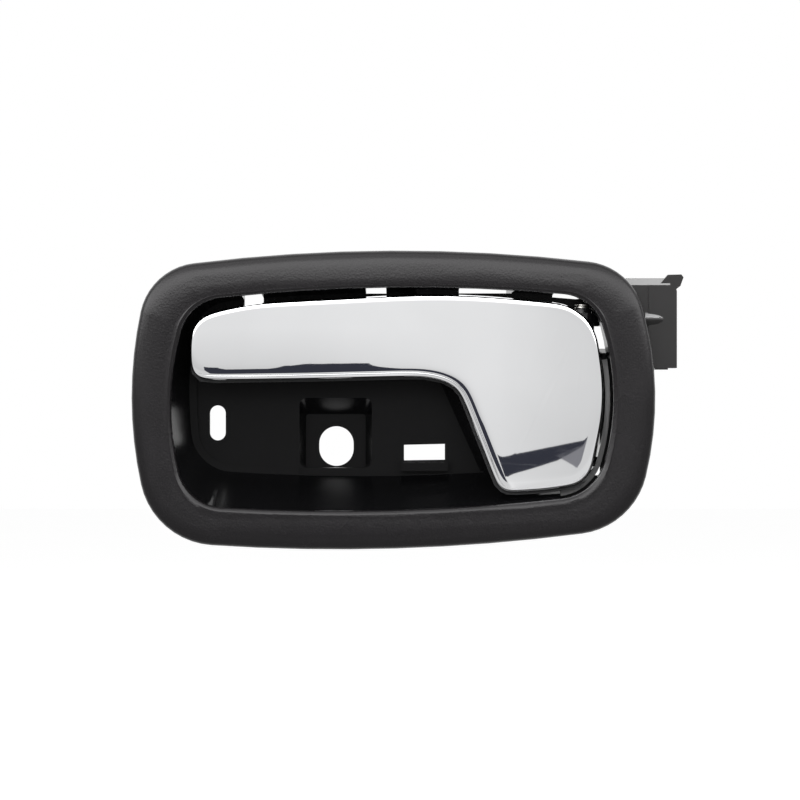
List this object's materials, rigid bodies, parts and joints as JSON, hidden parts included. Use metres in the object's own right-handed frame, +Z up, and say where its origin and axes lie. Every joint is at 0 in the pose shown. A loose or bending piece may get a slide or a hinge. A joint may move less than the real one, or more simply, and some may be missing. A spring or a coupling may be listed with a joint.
{
  "type": "car interior door handle",
  "caption": "Car interior door handle: grained oval bezel, black cup housing and a spring-returned chrome pull lever on a hinge pin.",
  "frame": {"origin": "centre of the fixing hole, on the rear seat of the pocket floor", "axes": "+X to the right of the handle seen from the cabin, +Y into the door, +Z up"},
  "size_m": [0.1759, 0.0384, 0.0947],
  "materials": {
    "bezel_plastic": "fine grained charcoal moulding",
    "housing_plastic": "satin black moulding",
    "chrome_plate": "bright plated plastic",
    "core_plastic": "black glass-filled moulding",
    "steel": "zinc plated",
    "spring_steel": "bright spring wire",
    "acetal": "natural acetal",
    "rubber": "matt"
  },
  "bodies": {
    "case": {"bezel": "bezel_plastic", "housing": "housing_plastic", "hinge_bushes": "acetal", "rest_pads": "rubber", "return_spring": "spring_steel"},
    "lever": {"lever_skin": "chrome_plate", "lever_core": "core_plastic", "skin_screws": "steel", "hinge_pin": "steel", "pin_clip": "spring_steel", "cable_bush": "acetal"}
  },
  "joints": [
    {"name": "lever_hinge", "type": "hinge", "parent": "case", "child": "lever", "pos_m": [0.0787, -0.0278, 0.015], "axis": [0, 0, 1], "range_deg": [0, 24], "stiffness_Nm_per_rad": 0.5, "springref_deg": -20.05, "deforming": ["return_spring"]}
  ]
}
